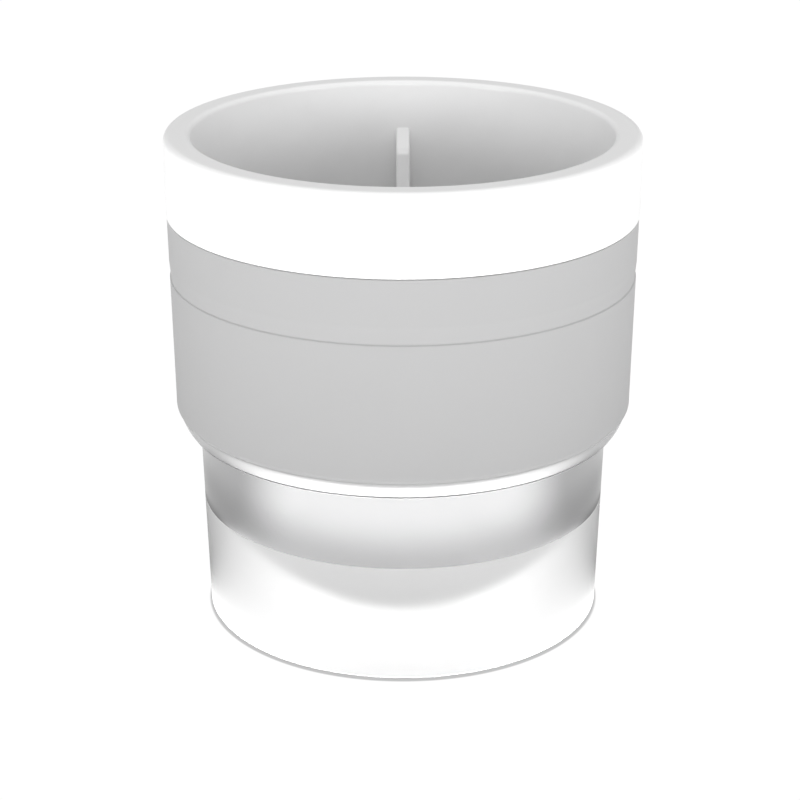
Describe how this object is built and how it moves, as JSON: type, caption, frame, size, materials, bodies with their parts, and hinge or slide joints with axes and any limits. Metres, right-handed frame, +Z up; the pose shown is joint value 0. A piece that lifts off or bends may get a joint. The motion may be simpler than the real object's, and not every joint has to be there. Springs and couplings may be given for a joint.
{
  "type": "portable mini washer",
  "caption": "Round portable mini washer: a rigid white rim on a soft grey wall that folds down over a narrower base with tub, pulsator, geared motor, controls and drain.",
  "frame": {"origin": "on the floor, on the axis of the tub, under the middle of the feet", "axes": "+Z up, along the tub's axis; +Y towards the control panel at the rear; +X to the right seen from the plain front"},
  "size_m": [0.281, 0.281, 0.3],
  "materials": {
    "white_gloss": "glossy moulded white",
    "white_satin": "satin moulded white",
    "pale_plastic": "plain moulding, pale grey",
    "soft_grey": "flat matte thermoplastic elastomer",
    "band_grey": "glossy moulded grey",
    "dark_rubber": "black rubber",
    "wire_skin": "PVC insulation",
    "steel": "plated or ground steel",
    "spring_steel": "spring wire",
    "brass": "machined",
    "nylon": "natural acetal",
    "magnet": "sintered ferrite",
    "winding": "enamelled copper on steel",
    "board": "glass epoxy with parts",
    "dark_plastic": "black moulding",
    "lens": "clear blue"
  },
  "bodies": {
    "base": {"folding_sleeve": "soft_grey", "lower_collar": "white_gloss", "lower_clamp_ring": "pale_plastic", "flange_screws": "steel", "tub": "white_satin", "neck_band": "band_grey", "base_shell": "white_gloss", "bottom_cover": "pale_plastic", "cover_screws": "steel", "feet": "dark_rubber", "shaft_seal": "dark_rubber", "upper_bearing": "steel", "lower_bearing": "steel", "gear_case": "pale_plastic", "gear_case_lid": "pale_plastic", "gear_case_screws": "steel", "idler_pin": "steel", "motor_can": "steel", "motor_magnets": "magnet", "motor_end_cap": "dark_plastic", "motor_screws": "steel", "control_panel": "band_grey", "power_button_spring": "spring_steel", "timer_button_spring": "spring_steel", "indicator_lens": "lens", "control_board": "board", "board_screws": "steel", "motor_wires": "wire_skin", "supply_wires": "wire_skin", "power_jack": "dark_plastic", "jack_nut": "steel", "drain_elbow": "pale_plastic", "drain_gasket": "dark_rubber", "drain_grate": "pale_plastic"},
    "rim": {"rim_ring": "white_gloss", "upper_clamp_ring": "pale_plastic", "rim_screws": "steel"},
    "pulsator_drive": {"pulsator": "white_satin", "pulsator_cap": "band_grey", "pulsator_screw": "steel", "drive_shaft": "steel", "output_gear": "nylon"},
    "idler": {"idler_gear": "nylon"},
    "motor_rotor": {"motor_shaft": "steel", "motor_armature": "winding", "motor_pinion": "brass"},
    "power_push": {"power_button": "white_gloss"},
    "timer_push": {"timer_button": "white_gloss"},
    "plug": {"drain_plug": "dark_rubber"}
  },
  "joints": [
    {"name": "fold", "type": "slide", "parent": "base", "child": "rim", "axis": [0, 0, -1], "range_m": [0, 0.08], "deforming": ["folding_sleeve"]},
    {"name": "pulsator_spin", "type": "hinge", "parent": "base", "child": "pulsator_drive", "pos_m": [0, 0, 0.09], "axis": [0, 0, 1], "continuous": true},
    {"name": "idler_spin", "type": "hinge", "parent": "base", "child": "idler", "pos_m": [0.035, 0, 0.07], "axis": [0, 0, 1], "continuous": true},
    {"name": "motor_spin", "type": "hinge", "parent": "base", "child": "motor_rotor", "pos_m": [0.063, 0, 0.04], "axis": [0, 0, 1], "continuous": true},
    {"name": "power_press", "type": "slide", "parent": "base", "child": "power_push", "axis": [0, -1, 0], "range_m": [0, 0.0015], "stiffness_N_per_m": 600, "deforming": ["power_button_spring"]},
    {"name": "timer_press", "type": "slide", "parent": "base", "child": "timer_push", "axis": [0, -1, 0], "range_m": [0, 0.0015], "stiffness_N_per_m": 600, "deforming": ["timer_button_spring"]},
    {"name": "plug_pull", "type": "slide", "parent": "base", "child": "plug", "axis": [-0.7071, 0.7071, 0], "range_m": [0, 0.03]}
  ],
  "couplings": [
    {"joint": "idler_spin", "follows": "pulsator_spin", "ratio": -4},
    {"joint": "motor_spin", "follows": "pulsator_spin", "ratio": 12}
  ]
}
